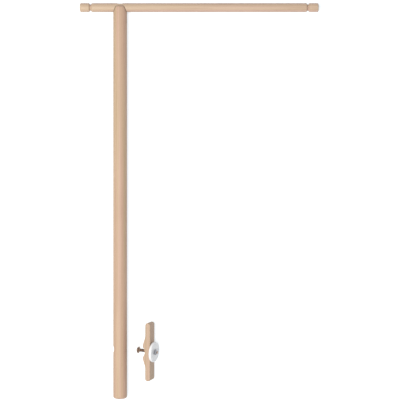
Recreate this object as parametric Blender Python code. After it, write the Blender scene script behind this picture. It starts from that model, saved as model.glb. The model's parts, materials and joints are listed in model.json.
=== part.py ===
"""Wooden cot-mobile holder, laid flat, with its clamp set taken off beside the foot.

A round beech post carries a round cross arm in a saddle at its top.  A
countersunk screw goes through the arm into the post's end grain.  The loose
clamp set is a grooved beech block on a cup-head bolt, with a round plastic
knob that holds a hex nut.

Frame: +Z up, the surface is z = 0, the post runs along +Y with its foot at
-Y, and the arm runs along X.  The origin is the centre of the footprint of
the post and the arm.  Lengths are metres.
"""

import math

import bmesh
import bpy
from mathutils import Matrix, Vector

MM = 0.001

# Clearances
SEAT_GAP = 0.3 * MM  # between a piece and what it rests in or against
THREAD_GAP = 0.3 * MM  # all round a bolt or a screw, on the radius

# Post
POST_DIAMETER = 22.0 * MM
POST_LENGTH = 625.4 * MM
POST_TOP_ROUND = 5.0 * MM
POST_FOOT_ROUND = 3.5 * MM

# Arm, measured along its length from the post's axis
ARM_DIAMETER = 14.0 * MM
ARM_SHORT_SIDE = 64.0 * MM
ARM_LONG_SIDE = 316.0 * MM
ARM_END_ROUND = 2.0 * MM
ARM_BELOW_POST_TOP = 2.9 * MM  # the arm's axis to the post's end

# String grooves round the arm, near both ends
STRING_GROOVE_FROM_END = 16.8 * MM
STRING_GROOVE_WIDTH = 5.0 * MM
STRING_GROOVE_DEPTH = 2.4 * MM
STRING_GROOVE_FLOOR = 0.6 * MM

# Screw that holds the arm
SCREW_DIAMETER = 4.0 * MM
SCREW_LENGTH = 40.0 * MM
SCREW_HEAD_DIAMETER = 8.8 * MM
SCREW_POINT = 5.0 * MM
SCREW_SLOT_WIDTH = 1.1 * MM
SCREW_SLOT_LENGTH = 4.6 * MM
SCREW_SLOT_DEPTH = 1.6 * MM
COUNTERSINK_DIAMETER = 12.3 * MM  # where its 90 degree cone meets the arm's crown
PILOT_SPARE = 4.0 * MM  # the pilot hole goes on past the screw's point

# Hole through the post for the clamp bolt, with a recess for its head
BOLT_HOLE_FROM_FOOT = 78.7 * MM
BOLT_HOLE_CLEARANCE = 0.8 * MM  # on the diameter
HEAD_RECESS_CLEARANCE = 0.8 * MM  # on the diameter
HEAD_SUNK_BY = 0.6 * MM  # how far the head's crown lies below the post's side

# Clamp block: S runs along the bolt, L along the block, W across it
BLOCK_LENGTH = 93.5 * MM
BLOCK_WIDTH = 18.0 * MM
BLOCK_MIDDLE_THICKNESS = 12.6 * MM
BLOCK_ARM_THICKNESS = 8.4 * MM
BLOCK_PAD_WIDTH = 3.3 * MM  # flat beside each edge of the post groove
BLOCK_TAPER_RUN = 12.7 * MM
BLOCK_CORNER_ROUND = 4.0 * MM
BLOCK_EDGE_ROUND = 1.2 * MM
POST_GROOVE_DEPTH = 3.6 * MM
BLOCK_HOLE_CLEARANCE = 1.2 * MM  # on the diameter, loose enough for the block to lean

# Clamp bolt
BOLT_DIAMETER = 4.8 * MM
BOLT_LENGTH = 33.0 * MM  # under the head
BOLT_HEAD_DIAMETER = 10.8 * MM
BOLT_HEAD_HEIGHT = 3.3 * MM
BOLT_HEAD_RIM = 0.6 * MM
BOLT_TIP_CHAMFER = 0.5 * MM
BOLT_PAST_BLOCK = 9.3 * MM  # the tip, measured from the block's knob side

# Clamp knob and its nut
KNOB_DIAMETER = 32.4 * MM
KNOB_THICKNESS = 4.4 * MM
KNOB_EDGE_ROUND = 1.5 * MM
NUT_ACROSS_FLATS = 8.0 * MM
NUT_THICKNESS = 4.7 * MM
NUT_SUNK_BY = 1.2 * MM  # let into the knob's face
NUT_CHAMFER = 0.45 * MM

# Where the clamp set lies
CLAMP_FROM_POST_AXIS = 51.2 * MM  # to the block's knob side, on the bolt's axis
CLAMP_FROM_FOOT = 74.5 * MM
CLAMP_YAW = math.radians(-4.3)
BLOCK_LEAN = math.radians(2.1)  # the loose hole lets the block lean on the bolt

# Facets round a full turn
ROUND_LARGE = 64
ROUND_SMALL = 32
CORNER_STEPS = 5

# Values that follow from the sizes above
POST_RADIUS = POST_DIAMETER / 2
ARM_RADIUS = ARM_DIAMETER / 2
BOLT_RADIUS = BOLT_DIAMETER / 2
BOLT_HOLE_DIAMETER = BOLT_DIAMETER + BOLT_HOLE_CLEARANCE
HEAD_RECESS_DIAMETER = BOLT_HEAD_DIAMETER + HEAD_RECESS_CLEARANCE
HEAD_RECESS_DEPTH = BOLT_HEAD_HEIGHT + HEAD_SUNK_BY
BLOCK_HOLE_DIAMETER = BOLT_DIAMETER + BLOCK_HOLE_CLEARANCE
KNOB_RADIUS = KNOB_DIAMETER / 2
POST_X = (ARM_SHORT_SIDE - ARM_LONG_SIDE) / 2
ARM_FROM_FOOT = POST_LENGTH - ARM_BELOW_POST_TOP
FOOT_Y = -(ARM_FROM_FOOT + ARM_RADIUS) / 2
ARM_Y = FOOT_Y + ARM_FROM_FOOT
SCREW_HEAD_RADIUS = SCREW_HEAD_DIAMETER / 2
SCREW_RADIUS = SCREW_DIAMETER / 2
SCREW_HEAD_DROP = COUNTERSINK_DIAMETER / 2 - SCREW_HEAD_RADIUS - SEAT_GAP * math.sqrt(2)
SCREW_TOP_Y = ARM_Y + ARM_RADIUS - SCREW_HEAD_DROP
GROOVE_RADIUS = POST_RADIUS + SEAT_GAP
GROOVE_HALF_CHORD = math.sqrt(GROOVE_RADIUS**2 - (GROOVE_RADIUS - POST_GROOVE_DEPTH) ** 2)
PAD_END = GROOVE_HALF_CHORD + BLOCK_PAD_WIDTH
HOLE_MIDDLE = (BLOCK_MIDDLE_THICKNESS - POST_GROOVE_DEPTH) / 2
FLAT_RADIUS = KNOB_RADIUS - KNOB_EDGE_ROUND
KNOB_BACK = (
    (SEAT_GAP + KNOB_EDGE_ROUND + FLAT_RADIUS * math.sin(BLOCK_LEAN)) / math.cos(BLOCK_LEAN)
    - KNOB_EDGE_ROUND
)
NUT_POCKET_DEPTH = NUT_SUNK_BY + SEAT_GAP
BOLT_UNDER_HEAD = BOLT_PAST_BLOCK - BOLT_LENGTH
OVERCUT = 2.0 * MM  # how far a cutter runs past the surface that it opens


def clear_scene():
    for obj in list(bpy.data.objects):
        bpy.data.objects.remove(obj, do_unlink=True)


def make_material(name, colour, roughness, metallic=0.0):
    material = bpy.data.materials.new(name)
    material.use_nodes = True
    shader = material.node_tree.nodes["Principled BSDF"]
    shader.inputs["Base Color"].default_value = (*colour, 1.0)
    shader.inputs["Roughness"].default_value = roughness
    shader.inputs["Metallic"].default_value = metallic
    material.diffuse_color = (*colour, 1.0)
    return material


def add_object(name, mesh_data, material=None):
    """Writes a bmesh to a new object, with smooth round faces and sharp edges."""
    bmesh.ops.recalc_face_normals(mesh_data, faces=mesh_data.faces)
    mesh = bpy.data.meshes.new(name)
    mesh_data.to_mesh(mesh)
    mesh_data.free()
    mesh.shade_smooth()
    mesh.set_sharp_from_angle(angle=math.radians(35.0))
    obj = bpy.data.objects.new(name, mesh)
    bpy.context.scene.collection.objects.link(obj)
    if material:
        mesh.materials.append(material)
    return obj


def boolean(obj, cutter, operation="DIFFERENCE"):
    """Cuts obj with a helper that lies in obj's own coordinates."""
    cutter.parent = obj
    cutter.hide_render = True
    cutter.display_type = "WIRE"
    modifier = obj.modifiers.new(cutter.name, "BOOLEAN")
    modifier.operation = operation
    modifier.solver = "EXACT"
    modifier.object = cutter


def quarter_round(centre, radius, start, end, steps=CORNER_STEPS):
    """Points round a corner, from one angle to another in degrees."""
    points = []
    for step in range(steps + 1):
        angle = math.radians(start + (end - start) * step / steps)
        along = centre[0] + radius * math.cos(angle)
        out = centre[1] + radius * math.sin(angle)
        points.append((along, out))
    return points


def turned(outline, segments):
    """Spins (distance along X, radius) points round the X axis into a bmesh."""
    mesh_data = bmesh.new()
    verts = [mesh_data.verts.new((along, 0.0, radius)) for along, radius in outline]
    edges = [mesh_data.edges.new(pair) for pair in zip(verts, verts[1:])]
    if outline[0][1] > 0:
        edges.append(mesh_data.edges.new((verts[-1], verts[0])))
    bmesh.ops.spin(
        mesh_data,
        geom=verts + edges,
        axis=(1.0, 0.0, 0.0),
        cent=(0.0, 0.0, 0.0),
        angle=math.tau,
        steps=segments,
    )
    bmesh.ops.remove_doubles(mesh_data, verts=mesh_data.verts, dist=0.001 * MM)
    return mesh_data


def turned_rod(start, end, radius, segments):
    """A plain cylinder along X."""
    return turned([(start, 0.0), (start, radius), (end, radius), (end, 0.0)], segments)


def extruded(outline, low, high):
    """Extrudes (x, y) points along Z from low to high into a bmesh."""
    mesh_data = bmesh.new()
    face = mesh_data.faces.new([mesh_data.verts.new((x, y, low)) for x, y in outline])
    grown = bmesh.ops.extrude_face_region(mesh_data, geom=[face])
    moved = [item for item in grown["geom"] if isinstance(item, bmesh.types.BMVert)]
    bmesh.ops.translate(mesh_data, vec=(0.0, 0.0, high - low), verts=moved)
    return mesh_data


def turn_to(mesh_data, direction, place=(0.0, 0.0, 0.0)):
    """Turns a bmesh built along +X so that it runs along direction from place."""
    rotation = Vector((1.0, 0.0, 0.0)).rotation_difference(Vector(direction)).to_matrix()
    matrix = Matrix.Translation(place) @ rotation.to_4x4()
    bmesh.ops.transform(mesh_data, matrix=matrix, verts=mesh_data.verts)
    return mesh_data


def make_post(wood):
    """Round post along +Y from its foot, with rounded ends."""
    foot = quarter_round((POST_FOOT_ROUND, POST_RADIUS - POST_FOOT_ROUND), POST_FOOT_ROUND, 180, 90)
    top_centre = (POST_LENGTH - POST_TOP_ROUND, POST_RADIUS - POST_TOP_ROUND)
    top = quarter_round(top_centre, POST_TOP_ROUND, 90, 0)
    outline = [(0.0, 0.0), *foot, *top, (POST_LENGTH, 0.0)]
    post = add_object("post", turn_to(turned(outline, ROUND_LARGE), (0.0, 1.0, 0.0)), wood)
    post.location = (POST_X, FOOT_Y, POST_RADIUS)
    cut_saddle(post)
    cut_pilot_hole(post)
    cut_bolt_hole(post)
    return post


def cut_saddle(post):
    """U-shaped channel across the post's top that the arm lies in."""
    radius = ARM_RADIUS + SEAT_GAP
    bottom = quarter_round((0.0, ARM_FROM_FOOT), radius, 180, 360, ROUND_SMALL // 2)
    top = POST_LENGTH + OVERCUT
    outline = [(-radius, top), *bottom, (radius, top)]
    reach = POST_RADIUS + OVERCUT
    mesh_data = extruded(outline, -reach, reach)
    # The outline is drawn across the post, so its extrusion turns to run along X.
    turn = Matrix.Rotation(math.radians(90.0), 4, "Y")
    bmesh.ops.transform(mesh_data, matrix=turn, verts=mesh_data.verts)
    boolean(post, add_object("cut_saddle", mesh_data))


def cut_pilot_hole(post):
    """Hole for the arm screw, down the post's axis from the saddle."""
    depth = SCREW_TOP_Y - SCREW_LENGTH - PILOT_SPARE - FOOT_Y
    mesh_data = turned_rod(depth, POST_LENGTH + OVERCUT, SCREW_RADIUS + THREAD_GAP, ROUND_SMALL)
    boolean(post, add_object("cut_pilot_hole", turn_to(mesh_data, (0.0, 1.0, 0.0))))


def cut_bolt_hole(post):
    """Through hole with a recess for the bolt's head on the -X side."""
    recess_floor = -POST_RADIUS + HEAD_RECESS_DEPTH
    outline = [
        (-POST_RADIUS - OVERCUT, 0.0),
        (-POST_RADIUS - OVERCUT, HEAD_RECESS_DIAMETER / 2),
        (recess_floor, HEAD_RECESS_DIAMETER / 2),
        (recess_floor, BOLT_HOLE_DIAMETER / 2),
        (POST_RADIUS + OVERCUT, BOLT_HOLE_DIAMETER / 2),
        (POST_RADIUS + OVERCUT, 0.0),
    ]
    mesh_data = turn_to(turned(outline, ROUND_SMALL), (1, 0, 0), (0.0, BOLT_HOLE_FROM_FOOT, 0.0))
    boolean(post, add_object("cut_bolt_hole", mesh_data))


def string_groove(centre):
    """Outline points of a V groove whose floor is a narrow flat."""
    half = STRING_GROOVE_WIDTH / 2
    floor = STRING_GROOVE_FLOOR / 2
    deep = ARM_RADIUS - STRING_GROOVE_DEPTH
    return [
        (centre - half, ARM_RADIUS),
        (centre - floor, deep),
        (centre + floor, deep),
        (centre + half, ARM_RADIUS),
    ]


def make_arm(wood):
    """Round arm along X through the post's top, origin where their axes cross."""
    inner = ARM_RADIUS - ARM_END_ROUND
    left = quarter_round((-ARM_SHORT_SIDE + ARM_END_ROUND, inner), ARM_END_ROUND, 180, 90, 4)
    right = quarter_round((ARM_LONG_SIDE - ARM_END_ROUND, inner), ARM_END_ROUND, 90, 0, 4)
    outline = [
        (-ARM_SHORT_SIDE, 0.0),
        *left,
        *string_groove(-ARM_SHORT_SIDE + STRING_GROOVE_FROM_END),
        *string_groove(ARM_LONG_SIDE - STRING_GROOVE_FROM_END),
        *right,
        (ARM_LONG_SIDE, 0.0),
    ]
    arm = add_object("arm", turned(outline, ROUND_LARGE), wood)
    arm.location = (POST_X, ARM_Y, POST_RADIUS)
    cut_countersink(arm)
    return arm


def cut_countersink(arm):
    """90 degree countersink and clearance hole through the arm, from its +Y side."""
    hole = SCREW_RADIUS + THREAD_GAP
    wide = COUNTERSINK_DIAMETER / 2
    outline = [
        (ARM_RADIUS + OVERCUT, 0.0),
        (ARM_RADIUS + OVERCUT, wide + OVERCUT),
        (ARM_RADIUS - wide + hole, hole),
        (-ARM_RADIUS - OVERCUT, hole),
        (-ARM_RADIUS - OVERCUT, 0.0),
    ]
    mesh_data = turn_to(turned(outline, ROUND_SMALL), (0.0, 1.0, 0.0))
    boolean(arm, add_object("cut_countersink", mesh_data))


def make_arm_screw(steel):
    """Countersunk wood screw, built down -Y from the flat of its head."""
    cone = SCREW_HEAD_RADIUS - SCREW_RADIUS
    outline = [
        (0.0, 0.0),
        (0.0, SCREW_HEAD_RADIUS),
        (cone, SCREW_RADIUS),
        (SCREW_LENGTH - SCREW_POINT, SCREW_RADIUS),
        (SCREW_LENGTH, 0.0),
    ]
    mesh_data = turn_to(turned(outline, ROUND_SMALL), (0.0, -1.0, 0.0))
    screw = add_object("arm_screw", mesh_data, steel)
    screw.location = (POST_X, SCREW_TOP_Y, POST_RADIUS)
    cut_cross_slot(screw)
    return screw


def cut_cross_slot(screw):
    """Cross recess in the screw's head, as one plus-shaped cutter."""
    reach = SCREW_SLOT_LENGTH / 2
    half = SCREW_SLOT_WIDTH / 2
    quarter = [(reach, -half), (reach, half), (half, half)]
    outline = []
    for turn in range(4):
        angle = math.radians(90.0 * turn)
        for x, y in quarter:
            turned_x = x * math.cos(angle) - y * math.sin(angle)
            turned_y = x * math.sin(angle) + y * math.cos(angle)
            outline.append((turned_x, turned_y))
    mesh_data = extruded(outline, -SCREW_SLOT_DEPTH, OVERCUT)
    turn = Matrix.Rotation(math.radians(-90.0), 4, "X")
    bmesh.ops.transform(mesh_data, matrix=turn, verts=mesh_data.verts)
    boolean(screw, add_object("cut_cross_slot", mesh_data))


def rest_tilt():
    """Tilt at which the knob's rounded back rim and the head's rim both touch z = 0."""
    along = KNOB_BACK + KNOB_EDGE_ROUND - BOLT_UNDER_HEAD + BOLT_HEAD_RIM
    across = FLAT_RADIUS - BOLT_HEAD_DIAMETER / 2
    return math.atan2(across, along) + math.asin(KNOB_EDGE_ROUND / math.hypot(along, across))


def axis_height(tilt):
    """Height of the bolt's axis where it leaves the block, with the head's rim down."""
    along = BOLT_UNDER_HEAD - BOLT_HEAD_RIM
    return BOLT_HEAD_DIAMETER / 2 * math.cos(tilt) - along * math.sin(tilt)


def make_clamp_axis():
    """Empty on the bolt's axis, with X along the bolt towards the knob."""
    tilt = rest_tilt()
    empty = bpy.data.objects.new("clamp_axis", None)
    bpy.context.scene.collection.objects.link(empty)
    place = (POST_X + CLAMP_FROM_POST_AXIS, FOOT_Y + CLAMP_FROM_FOOT, axis_height(tilt))
    empty.location = place
    empty.rotation_euler = (0.0, -tilt, CLAMP_YAW)
    return empty


def make_clamp_bolt(axis, bronze):
    """Cup-head bolt, turned, with its dome towards -X of the clamp axis."""
    rim = BOLT_HEAD_DIAMETER / 2
    cap = BOLT_HEAD_HEIGHT - BOLT_HEAD_RIM
    dome = (rim**2 + cap**2) / (2 * cap)
    crown = BOLT_UNDER_HEAD - BOLT_HEAD_HEIGHT
    swing = math.degrees(math.asin(rim / dome))
    tip = BOLT_PAST_BLOCK
    outline = [
        *quarter_round((crown + dome, 0.0), dome, 180, 180 - swing, 6),
        (BOLT_UNDER_HEAD, rim),
        (BOLT_UNDER_HEAD, BOLT_RADIUS),
        (tip - BOLT_TIP_CHAMFER, BOLT_RADIUS),
        (tip, BOLT_RADIUS - BOLT_TIP_CHAMFER),
        (tip, 0.0),
    ]
    outline[0] = (crown, 0.0)
    bolt = add_object("clamp_bolt", turned(outline, ROUND_SMALL), bronze)
    bolt.parent = axis
    return bolt


def block_outline():
    """(S, L) corners of the block: flat knob side, two pads, tapers and thin arms."""
    half = BLOCK_LENGTH / 2
    arm = -BLOCK_ARM_THICKNESS
    pad = -BLOCK_MIDDLE_THICKNESS
    r = BLOCK_CORNER_ROUND
    inset = half - r
    upper = [
        *quarter_round((-r, inset), r, 0, 90),
        *quarter_round((arm + r, inset), r, 90, 180),
        (arm, PAD_END + BLOCK_TAPER_RUN),
        (pad, PAD_END),
    ]
    lower = [(s, -l) for s, l in reversed(upper)]
    return upper + lower


def block_mesh():
    """The block without its groove and hole, with X = 0 on its knob side."""
    half = BLOCK_WIDTH / 2
    mesh_data = extruded(block_outline(), -half, half)
    rims = [e for e in mesh_data.edges if abs(e.verts[0].co.z - e.verts[1].co.z) < MM]
    bmesh.ops.bevel(
        mesh_data,
        geom=rims,
        offset=BLOCK_EDGE_ROUND,
        offset_type="OFFSET",
        segments=3,
        profile=0.5,
        affect="EDGES",
        clamp_overlap=True,
        material=-1,
    )
    bmesh.ops.translate(mesh_data, vec=(HOLE_MIDDLE, 0.0, 0.0), verts=mesh_data.verts)
    return mesh_data


def block_matrix(roll):
    """The block's pose on the clamp axis, turned by roll about the bolt."""
    turn = Matrix.Rotation(roll, 4, "X") @ Matrix.Rotation(BLOCK_LEAN, 4, "Z")
    return Matrix.Translation((-HOLE_MIDDLE, 0.0, 0.0)) @ turn


def lowest(points, matrix):
    return min((matrix @ point).z for point in points)


def settled_roll(points, axis_matrix):
    """Roll that brings the block's foot-side end down to z = 0, by bisection."""
    low = 0.0
    high = math.radians(20.0)
    if lowest(points, axis_matrix @ block_matrix(low)) <= 0:
        return low
    for _ in range(50):
        middle = (low + high) / 2
        if lowest(points, axis_matrix @ block_matrix(middle)) > 0:
            low = middle
        else:
            high = middle
    return low


def make_clamp_block(axis, wood):
    """Grooved beech block, its origin in the middle of its bolt hole."""
    mesh_data = block_mesh()
    points = [vert.co.copy() for vert in mesh_data.verts]
    block = add_object("clamp_block", mesh_data, wood)
    bpy.context.view_layer.update()
    roll = settled_roll(points, axis.matrix_world)
    # A thick block would reach the surface before the rims do, and lifts the whole set.
    axis.location.z += max(0.0, -lowest(points, axis.matrix_world @ block_matrix(roll)))
    block.parent = axis
    block.rotation_mode = "ZYX"
    block.rotation_euler = (roll, 0.0, BLOCK_LEAN)
    block.location = (-HOLE_MIDDLE, 0.0, 0.0)
    cut_post_groove(block)
    cut_block_hole(block)
    return block


def cut_post_groove(block):
    """Part-round groove across the block, to the post's radius plus the seat gap."""
    centre = HOLE_MIDDLE - BLOCK_MIDDLE_THICKNESS + POST_GROOVE_DEPTH - GROOVE_RADIUS
    reach = BLOCK_WIDTH / 2 + OVERCUT
    mesh_data = turned_rod(-reach, reach, GROOVE_RADIUS, ROUND_LARGE)
    turn_to(mesh_data, (0.0, 0.0, 1.0), (centre, 0.0, 0.0))
    boolean(block, add_object("cut_post_groove", mesh_data))


def cut_block_hole(block):
    reach = BLOCK_MIDDLE_THICKNESS + OVERCUT
    mesh_data = turned_rod(-reach, reach, BLOCK_HOLE_DIAMETER / 2, ROUND_SMALL)
    boolean(block, add_object("cut_block_hole", mesh_data))


def make_clamp_knob(axis, plastic):
    """Round knob with rounded rims, its origin on the bolt at its back face."""
    hole = BOLT_RADIUS + THREAD_GAP
    r = KNOB_EDGE_ROUND
    outline = [
        (0.0, hole),
        *quarter_round((r, FLAT_RADIUS), r, 180, 90),
        *quarter_round((KNOB_THICKNESS - r, FLAT_RADIUS), r, 90, 0),
        (KNOB_THICKNESS, hole),
    ]
    knob = add_object("clamp_knob", turned(outline, ROUND_LARGE), plastic)
    knob.parent = axis
    knob.location = (KNOB_BACK, 0.0, 0.0)
    cut_nut_pocket(knob)
    return knob


def hexagon(across_flats):
    radius = across_flats / math.sqrt(3)
    corners = [math.radians(60.0 * step) for step in range(6)]
    return [(radius * math.cos(angle), radius * math.sin(angle)) for angle in corners]


def hex_prism(across_flats, start, end):
    """Hexagonal prism along X."""
    mesh_data = extruded(hexagon(across_flats), start, end)
    turn = Matrix.Rotation(math.radians(90.0), 4, "Y")
    bmesh.ops.transform(mesh_data, matrix=turn, verts=mesh_data.verts)
    return mesh_data


def cut_nut_pocket(knob):
    floor = KNOB_THICKNESS - NUT_POCKET_DEPTH
    mesh_data = hex_prism(NUT_ACROSS_FLATS + 2 * SEAT_GAP, floor, KNOB_THICKNESS + OVERCUT)
    boolean(knob, add_object("cut_nut_pocket", mesh_data))


def make_knob_nut(knob, steel):
    """Hex nut that stands out of a shallow pocket in the knob's face."""
    start = KNOB_THICKNESS - NUT_SUNK_BY
    end = start + NUT_THICKNESS
    nut = add_object("knob_nut", hex_prism(NUT_ACROSS_FLATS, start, end), steel)
    nut.parent = knob
    corner = NUT_ACROSS_FLATS / math.sqrt(3)
    hole = BOLT_RADIUS + THREAD_GAP
    # The blank that the hexagon is cut down to has chamfered ends and the bore.
    blank = [
        (start, hole),
        (start, corner - NUT_CHAMFER),
        (start + NUT_CHAMFER * math.tan(math.radians(30.0)), corner + SEAT_GAP),
        (end - NUT_CHAMFER * math.tan(math.radians(30.0)), corner + SEAT_GAP),
        (end, corner - NUT_CHAMFER),
        (end, hole),
    ]
    boolean(nut, add_object("keep_nut_blank", turned(blank, ROUND_SMALL)), "INTERSECT")
    return nut


def main():
    clear_scene()
    beech = make_material("beech", (0.70, 0.50, 0.36), 0.55)
    bronze = make_material("bronzed_steel", (0.14, 0.085, 0.055), 0.40, 1.0)
    steel = make_material("zinc_steel", (0.45, 0.46, 0.48), 0.35, 1.0)
    plastic = make_material("white_plastic", (0.86, 0.85, 0.82), 0.35)
    make_post(beech)
    make_arm(beech)
    make_arm_screw(steel)
    axis = make_clamp_axis()
    make_clamp_bolt(axis, bronze)
    make_clamp_block(axis, beech)
    knob = make_clamp_knob(axis, plastic)
    make_knob_nut(knob, steel)
    bpy.context.view_layer.update()


main()
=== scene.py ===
# %% [markdown]
# A holder for a baby mobile, taken apart and laid on a white table: a long
# round post of beech, a thinner round arm across its top, and beside the foot
# the clamp set, which is a grooved block, a dark bolt and a white knob with a
# nut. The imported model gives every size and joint, so it is loaded first.
# Blender's startup cube, lamp and camera would be in the way, and are removed.

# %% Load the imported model
import json
import math

import bmesh
import bpy
from mathutils import Matrix, Vector

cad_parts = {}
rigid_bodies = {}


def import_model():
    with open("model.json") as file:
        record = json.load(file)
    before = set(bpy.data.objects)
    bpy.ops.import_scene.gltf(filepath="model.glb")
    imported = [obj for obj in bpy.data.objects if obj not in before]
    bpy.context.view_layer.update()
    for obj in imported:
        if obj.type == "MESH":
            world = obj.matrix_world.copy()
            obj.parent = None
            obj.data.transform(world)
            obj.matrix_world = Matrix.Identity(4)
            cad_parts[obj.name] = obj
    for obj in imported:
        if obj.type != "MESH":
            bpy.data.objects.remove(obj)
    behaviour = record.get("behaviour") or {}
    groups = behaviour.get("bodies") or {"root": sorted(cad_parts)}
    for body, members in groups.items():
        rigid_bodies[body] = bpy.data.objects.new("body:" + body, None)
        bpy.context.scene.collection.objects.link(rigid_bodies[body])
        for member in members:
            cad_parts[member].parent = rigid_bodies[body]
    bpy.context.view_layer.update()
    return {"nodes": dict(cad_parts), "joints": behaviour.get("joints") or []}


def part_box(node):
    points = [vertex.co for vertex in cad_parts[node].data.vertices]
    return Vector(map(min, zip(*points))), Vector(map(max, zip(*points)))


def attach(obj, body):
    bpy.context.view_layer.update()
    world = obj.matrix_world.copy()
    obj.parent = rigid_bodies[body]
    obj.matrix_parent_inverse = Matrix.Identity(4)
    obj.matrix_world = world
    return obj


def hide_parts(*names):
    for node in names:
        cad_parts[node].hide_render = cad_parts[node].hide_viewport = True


for startup_object in list(bpy.data.objects):
    bpy.data.objects.remove(startup_object, do_unlink=True)
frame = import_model()
MM = 0.001
print("nodes:", sorted(frame["nodes"]))

# %% [markdown]
# The wooden rods' sizes could be typed in again, but then a change in the
# model would be missed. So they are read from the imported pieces' own boxes.
# Only details that a box can't show, such as how deep the string grooves are,
# are written in this script, each where it is first needed.

# %% Read the sizes of the wooden rods
post_low, post_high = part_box("post")
arm_low, arm_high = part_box("arm")
CROWN_DROP = 0.17 * MM  # the cut crown's highest points lie this far under its end
POST_RADIUS = (post_high.x - post_low.x) / 2
POST_X = (post_high.x + post_low.x) / 2
POST_FOOT_Y = post_low.y
POST_TOP_Y = post_high.y + CROWN_DROP
POST_LENGTH = POST_TOP_Y - POST_FOOT_Y
ARM_RADIUS = (arm_high.z - arm_low.z) / 2
ARM_Y = (arm_high.y + arm_low.y) / 2
AXIS_HEIGHT = POST_RADIUS
print(f"post {2 * POST_RADIUS / MM:.1f} mm across, {POST_LENGTH / MM:.1f} mm long")
print(f"arm {2 * ARM_RADIUS / MM:.1f} mm across, "
      f"{(arm_high.x - arm_low.x) / MM:.1f} mm long")

# %% [markdown]
# The clamp set lies tilted, on the knob's rim and the bolt's head. Its place
# could be found from its box, but a tilted piece's box says little. Its swivel
# joint runs down the bolt, so the joint's point and axis give the set a frame
# of its own: X along the bolt towards the knob, Y along the block, Z upwards.

# %% Find the clamp set's frame from its joint
swivel = next(j for j in frame["joints"] if j["name"] == "clamp_swivel")
bolt_way = -Vector(swivel["axis"]).normalized()
block_way = Vector((0.0, 0.0, 1.0)).cross(bolt_way).normalized()
up_way = bolt_way.cross(block_way)
CLAMP = Matrix.Translation(Vector(swivel["pos_m"])) @ Matrix(
    (bolt_way, block_way, up_way)
).transposed().to_4x4()
print(f"the bolt leans {math.degrees(math.asin(bolt_way.z)):.1f} degrees up")

# %% [markdown]
# Most of these pieces are turned on a lathe. A cylinder primitive would give
# the bare rod, but not its shoulders and grooves. In Blender a lathe is a
# spin: half of the outline is drawn as a wire, and bmesh turns it round the
# axis. A spin can come out inside out, so each piece has its normals
# recalculated once its doubles are merged.

# %% Turn an outline on a lathe
SIDES = 128  # flats round a rod, enough to look round
WELD = 0.0005 * MM  # points nearer than this are one point


def lathe(outline, sides=SIDES):
    """Spins (along, radius) points round the X axis into a closed mesh."""
    mesh = bmesh.new()
    points = [mesh.verts.new((along, 0.0, radius)) for along, radius in outline]
    wires = [mesh.edges.new(pair) for pair in zip(points, points[1:])]
    if outline[0][1] > 0:
        wires.append(mesh.edges.new((points[-1], points[0])))
    bmesh.ops.spin(
        mesh,
        geom=points + wires,
        cent=(0.0, 0.0, 0.0),
        axis=(1.0, 0.0, 0.0),
        angle=math.tau,
        steps=sides,
        use_merge=True,
    )
    bmesh.ops.remove_doubles(mesh, verts=mesh.verts, dist=WELD)
    bmesh.ops.recalc_face_normals(mesh, faces=mesh.faces)
    return mesh


trial_disc = lathe([(0.0, 0.0), (0.0, MM), (MM, MM), (MM, 0.0)], 12)
print(f"a trial disc of 12 sides has {len(trial_disc.faces)} faces")
trial_disc.free()

# %% [markdown]
# A maker takes the edge off every rim. A rounded outline would do it on a
# lathe too, but a bevel also works where two cut surfaces meet, so it is used
# everywhere. The edges to round are picked by where they lie. bmesh's own
# defaults differ from the editor's, so the settings are written out.

# %% Round the rims
def bevel(mesh, edges, offset, segments):
    """Rounds edges with the settings that give a plain quarter round."""
    bmesh.ops.bevel(
        mesh,
        geom=edges,
        offset=offset,
        offset_type="OFFSET",
        segments=segments,
        profile=0.5,
        affect="EDGES",
        clamp_overlap=True,
        material=-1,
    )


RING_SLACK = 0.01 * MM


def ring(mesh, along, radius):
    """The edges of a turned mesh that run round it at one place."""
    return [
        edge
        for edge in mesh.edges
        if all(
            abs(v.co.x - along) < RING_SLACK
            and abs(math.hypot(v.co.y, v.co.z) - radius) < RING_SLACK
            for v in edge.verts
        )
    ]


def score(mesh, places):
    """Adds a ring of edges round a rod at each place, so later cuts stay local."""
    for along in places:
        bmesh.ops.bisect_plane(
            mesh,
            geom=mesh.verts[:] + mesh.edges[:] + mesh.faces[:],
            plane_co=(along, 0.0, 0.0),
            plane_no=(1.0, 0.0, 0.0),
        )


trial_disc = lathe([(0.0, 0.0), (0.0, MM), (MM, MM), (MM, 0.0)], 12)
print(f"its rim has {len(ring(trial_disc, MM, MM))} edges")
trial_disc.free()

# %% [markdown]
# Holes, saddles and grooves are cut with a second mesh, as a drill or a cutter
# would. Building the curve where two round shapes meet by hand would be long
# and error-prone. A Boolean modifier does the cut, and its result is read back
# into bmesh at once, so that no helper object is left behind.

# %% Cut one mesh with another
def as_object(mesh, name):
    """Turns a bmesh into an object at the origin, and frees the bmesh."""
    data = bpy.data.meshes.new(name)
    mesh.to_mesh(data)
    mesh.free()
    made = bpy.data.objects.new(name, data)
    bpy.context.scene.collection.objects.link(made)
    return made


def carve(mesh, cutter, operation="DIFFERENCE"):
    """Returns mesh with the cutter taken out, kept in common, or joined on."""
    piece = as_object(mesh, "carved")
    tool = as_object(cutter, "carving_tool")
    modifier = piece.modifiers.new("cut", "BOOLEAN")
    modifier.operation = operation
    modifier.solver = "EXACT"
    modifier.object = tool
    result = bmesh.new()
    result.from_object(piece, bpy.context.evaluated_depsgraph_get())
    for helper in (piece, tool):
        data = helper.data
        bpy.data.objects.remove(helper, do_unlink=True)
        bpy.data.meshes.remove(data)
    bmesh.ops.remove_doubles(result, verts=result.verts, dist=WELD)
    print(f"  {operation.lower()}: {len(result.faces)} faces")
    return result


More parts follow.
